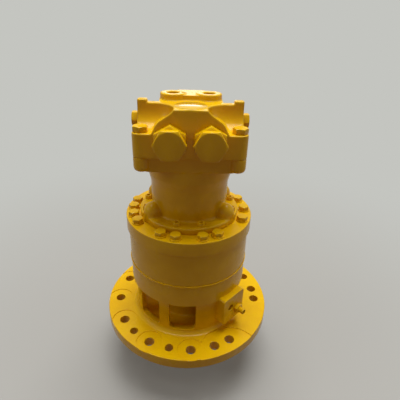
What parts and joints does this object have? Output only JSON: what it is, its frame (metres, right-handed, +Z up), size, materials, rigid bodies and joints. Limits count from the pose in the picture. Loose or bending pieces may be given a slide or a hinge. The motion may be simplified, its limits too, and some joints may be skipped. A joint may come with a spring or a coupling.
{
  "type": "swing gearbox",
  "caption": "Two-stage planetary swing gearbox on a drilled round flange, with an output pinion below and a hydraulic piston motor on top.",
  "frame": {"origin": "centre of the mounting flange's underside, on the shaft's axis", "axes": "+Z up the shaft towards the motor, -Y towards the side with the two large hex plugs"},
  "size_m": [0.47, 0.47, 0.779],
  "materials": {
    "golden_paint": "glossy golden yellow paint over cast iron and steel",
    "machined_steel": "machined, oiled",
    "hardened_steel": "ground and hardened",
    "bronze": "bearing bronze",
    "seal_rubber": "matt black nitrile rubber",
    "friction_lining": "sintered friction lining"
  },
  "bodies": {
    "casing": {"lower_housing": "golden_paint", "ring_gear": "golden_paint", "top_cover": "golden_paint", "cover_bolts": "golden_paint", "cover_washers": "golden_paint", "case_seal_rings": "seal_rubber", "drain_pipe": "golden_paint", "lower_bearing_cup": "hardened_steel", "upper_bearing_cup": "hardened_steel", "output_seal": "seal_rubber", "motor_casing": "golden_paint", "valve_casing": "golden_paint", "corner_bolts": "golden_paint", "mount_screws": "golden_paint", "shaft_seal": "seal_rubber", "shaft_bearing_outer": "hardened_steel", "end_bush": "bronze", "swash_plate": "machined_steel", "valve_plate": "bronze", "brake_plates": "machined_steel", "brake_springs": "machined_steel", "check_plug_left": "golden_paint", "check_plug_right": "golden_paint", "check_spring_left": "machined_steel", "check_spring_right": "machined_steel", "relief_plug_left": "golden_paint", "relief_plug_right": "golden_paint", "relief_spring_left": "machined_steel", "relief_spring_right": "machined_steel"},
    "output": {"pinion_shaft": "hardened_steel", "lower_bearing_cone": "hardened_steel", "upper_bearing_cone": "hardened_steel", "shaft_nut": "machined_steel", "carrier_2": "machined_steel", "planet_2_pins": "machined_steel"},
    "lower_cage": {"lower_bearing_rollers": "hardened_steel"},
    "upper_cage": {"upper_bearing_rollers": "hardened_steel"},
    "planet_2a": {"planet_gear_2a": "hardened_steel"},
    "planet_2b": {"planet_gear_2b": "hardened_steel"},
    "planet_2c": {"planet_gear_2c": "hardened_steel"},
    "first_stage": {"carrier_1": "machined_steel", "planet_1_pins": "machined_steel", "sun_gear_2": "hardened_steel"},
    "planet_1a": {"planet_gear_1a": "hardened_steel"},
    "planet_1b": {"planet_gear_1b": "hardened_steel"},
    "planet_1c": {"planet_gear_1c": "hardened_steel"},
    "rotor": {"sun_gear_1": "hardened_steel", "motor_shaft": "machined_steel", "cylinder_block": "machined_steel", "brake_discs": "friction_lining", "shaft_bearing_inner": "hardened_steel", "pistons_and_shoes": "hardened_steel", "retainer_plate": "hardened_steel"},
    "shaft_cage": {"shaft_bearing_balls": "hardened_steel"},
    "brake_ring": {"brake_piston": "machined_steel"},
    "check_left": {"check_poppet_left": "machined_steel"},
    "check_right": {"check_poppet_right": "machined_steel"},
    "relief_left": {"relief_poppet_left": "machined_steel"},
    "relief_right": {"relief_poppet_right": "machined_steel"}
  },
  "joints": [
    {"name": "pinion_spin", "type": "hinge", "parent": "casing", "child": "output", "pos_m": [0, 0, 0], "axis": [0, 0, 1], "continuous": true},
    {"name": "lower_cage_spin", "type": "hinge", "parent": "casing", "child": "lower_cage", "pos_m": [0, 0, 0], "axis": [0, 0, 1], "continuous": true},
    {"name": "upper_cage_spin", "type": "hinge", "parent": "casing", "child": "upper_cage", "pos_m": [0, 0, 0], "axis": [0, 0, 1], "continuous": true},
    {"name": "planet_2a_spin", "type": "hinge", "parent": "output", "child": "planet_2a", "pos_m": [0.06755, 0.039, 0.225], "axis": [0, 0, 1], "continuous": true},
    {"name": "planet_2b_spin", "type": "hinge", "parent": "output", "child": "planet_2b", "pos_m": [-0.06755, 0.039, 0.225], "axis": [0, 0, 1], "continuous": true},
    {"name": "planet_2c_spin", "type": "hinge", "parent": "output", "child": "planet_2c", "pos_m": [0, -0.078, 0.225], "axis": [0, 0, 1], "continuous": true},
    {"name": "first_stage_spin", "type": "hinge", "parent": "casing", "child": "first_stage", "pos_m": [0, 0, 0.25], "axis": [0, 0, 1], "continuous": true},
    {"name": "planet_1a_spin", "type": "hinge", "parent": "first_stage", "child": "planet_1a", "pos_m": [0, 0.072, 0.28], "axis": [0, 0, 1], "continuous": true},
    {"name": "planet_1b_spin", "type": "hinge", "parent": "first_stage", "child": "planet_1b", "pos_m": [-0.06235, -0.036, 0.28], "axis": [0, 0, 1], "continuous": true},
    {"name": "planet_1c_spin", "type": "hinge", "parent": "first_stage", "child": "planet_1c", "pos_m": [0.06235, -0.036, 0.28], "axis": [0, 0, 1], "continuous": true},
    {"name": "motor_spin", "type": "hinge", "parent": "casing", "child": "rotor", "pos_m": [0, 0, 0.4], "axis": [0, 0, 1], "continuous": true, "deforming": ["pistons_and_shoes", "retainer_plate"]},
    {"name": "shaft_cage_spin", "type": "hinge", "parent": "casing", "child": "shaft_cage", "pos_m": [0, 0, 0.36], "axis": [0, 0, 1], "continuous": true},
    {"name": "brake_release", "type": "slide", "parent": "casing", "child": "brake_ring", "axis": [0, 0, 1], "range_m": [0, 0.002], "deforming": ["brake_springs"]},
    {"name": "check_open_left", "type": "slide", "parent": "casing", "child": "check_left", "axis": [0, -1, 0], "range_m": [0, 0.004], "deforming": ["check_spring_left"]},
    {"name": "check_open_right", "type": "slide", "parent": "casing", "child": "check_right", "axis": [0, -1, 0], "range_m": [0, 0.004], "deforming": ["check_spring_right"]},
    {"name": "relief_open_left", "type": "slide", "parent": "casing", "child": "relief_left", "axis": [-1, 0, 0], "range_m": [0, 0.002], "deforming": ["relief_spring_left"]},
    {"name": "relief_open_right", "type": "slide", "parent": "casing", "child": "relief_right", "axis": [1, 0, 0], "range_m": [0, 0.002], "deforming": ["relief_spring_right"]}
  ],
  "couplings": [
    {"joint": "lower_cage_spin", "follows": "pinion_spin", "ratio": 0.42044},
    {"joint": "upper_cage_spin", "follows": "pinion_spin", "ratio": 0.42044},
    {"joint": "planet_2a_spin", "follows": "pinion_spin", "ratio": -2.8571},
    {"joint": "planet_2b_spin", "follows": "pinion_spin", "ratio": -2.8571},
    {"joint": "planet_2c_spin", "follows": "pinion_spin", "ratio": -2.8571},
    {"joint": "first_stage_spin", "follows": "pinion_spin", "ratio": 4.3333},
    {"joint": "planet_1a_spin", "follows": "pinion_spin", "ratio": -10.833},
    {"joint": "planet_1b_spin", "follows": "pinion_spin", "ratio": -10.833},
    {"joint": "planet_1c_spin", "follows": "pinion_spin", "ratio": -10.833},
    {"joint": "motor_spin", "follows": "pinion_spin", "ratio": 26},
    {"joint": "shaft_cage_spin", "follows": "pinion_spin", "ratio": 10.8}
  ]
}
